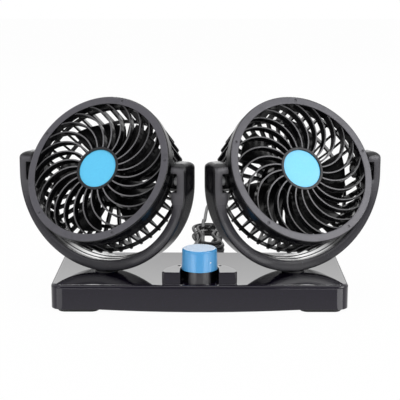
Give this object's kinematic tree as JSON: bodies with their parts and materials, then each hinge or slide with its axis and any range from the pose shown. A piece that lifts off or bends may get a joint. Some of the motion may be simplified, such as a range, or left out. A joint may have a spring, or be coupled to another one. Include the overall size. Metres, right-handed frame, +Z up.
{
  "type": "dual head car fan",
  "caption": "Dual head dashboard fan: caged propellers in U-shaped yokes that swivel and tilt on a flat base with a rotary speed knob, a tied cord and an accessory plug.",
  "frame": {"origin": "on the table under the middle of the base", "axes": "+Z up, +X to the right along the base, -Y towards the user"},
  "size_m": [0.267, 0.5222, 0.1456],
  "materials": {
    "base_gloss": "polished black plastic",
    "plate_black": "plain black moulding",
    "foot_rubber": "matt",
    "knob_blue": "fine satin",
    "steel": "zinc plated",
    "cord_black": "satin cord jacket",
    "tie_black": "satin",
    "plug_black": "satin",
    "plug_metal": "nickel plated",
    "yoke_gloss": "polished black plastic",
    "washer_grey": "plain",
    "grille_grey": "fine spark-eroded texture",
    "disc_blue": "polished",
    "cage_black": "semi-gloss",
    "motor_can": "zinc plated",
    "propeller_black": "semi-gloss"
  },
  "bodies": {
    "base": {"base_cover": "base_gloss", "base_plate": "plate_black", "foot_front_left": "foot_rubber", "foot_front_right": "foot_rubber", "foot_rear_left": "foot_rubber", "foot_rear_right": "foot_rubber", "base_screws": "steel", "speed_switch": "plate_black", "knob_collar": "base_gloss", "strain_relief": "cord_black", "cord_lead": "cord_black", "cord_hank": "cord_black", "hank_tie": "tie_black", "cord_tail": "cord_black", "plug_body": "plug_black", "plug_nose": "plug_black", "plug_tip": "plug_metal", "plug_springs": "plug_metal"},
    "knob": {"speed_knob": "knob_blue", "switch_shaft": "steel"},
    "left_bracket": {"left_yoke": "yoke_gloss", "left_tilt_pins": "yoke_gloss", "left_swivel_post": "steel", "left_swivel_washer": "washer_grey", "left_swivel_nut": "steel"},
    "left_head": {"left_front_grille": "grille_grey", "left_centre_disc": "disc_blue", "left_rear_cage": "cage_black", "left_motor": "motor_can", "left_motor_screws": "steel", "left_motor_cover": "cage_black"},
    "left_fan": {"left_propeller": "propeller_black", "left_motor_shaft": "steel"},
    "right_bracket": {"right_yoke": "yoke_gloss", "right_tilt_pins": "yoke_gloss", "right_swivel_post": "steel", "right_swivel_washer": "washer_grey", "right_swivel_nut": "steel"},
    "right_head": {"right_front_grille": "grille_grey", "right_centre_disc": "disc_blue", "right_rear_cage": "cage_black", "right_motor": "motor_can", "right_motor_screws": "steel", "right_motor_cover": "cage_black"},
    "right_fan": {"right_propeller": "propeller_black", "right_motor_shaft": "steel"}
  },
  "joints": [
    {"name": "speed_knob_turn", "type": "hinge", "parent": "base", "child": "knob", "pos_m": [0, -0.033, 0.03], "axis": [0, 0, 1], "range_deg": [-90, 0]},
    {"name": "left_swivel", "type": "hinge", "parent": "base", "child": "left_bracket", "pos_m": [-0.0685, -0.0045, 0.02], "axis": [0, 0, 1], "range_deg": [-151, 199]},
    {"name": "left_tilt", "type": "hinge", "parent": "left_bracket", "child": "left_head", "pos_m": [-0.0685, -0.0045, 0.0907], "axis": [0.9135, -0.4067, 0], "range_deg": [-59.5, 120.5]},
    {"name": "left_spin", "type": "hinge", "parent": "left_head", "child": "left_fan", "pos_m": [-0.0685, -0.0045, 0.0907], "axis": [-0.3505, -0.7871, 0.5075], "continuous": true},
    {"name": "right_swivel", "type": "hinge", "parent": "base", "child": "right_bracket", "pos_m": [0.0685, -0.0045, 0.02], "axis": [0, 0, 1], "range_deg": [-199, 151]},
    {"name": "right_tilt", "type": "hinge", "parent": "right_bracket", "child": "right_head", "pos_m": [0.0685, -0.0045, 0.0907], "axis": [0.9135, 0.4067, 0], "range_deg": [-59.5, 120.5]},
    {"name": "right_spin", "type": "hinge", "parent": "right_head", "child": "right_fan", "pos_m": [0.0685, -0.0045, 0.0907], "axis": [0.3505, -0.7871, 0.5075], "continuous": true}
  ]
}
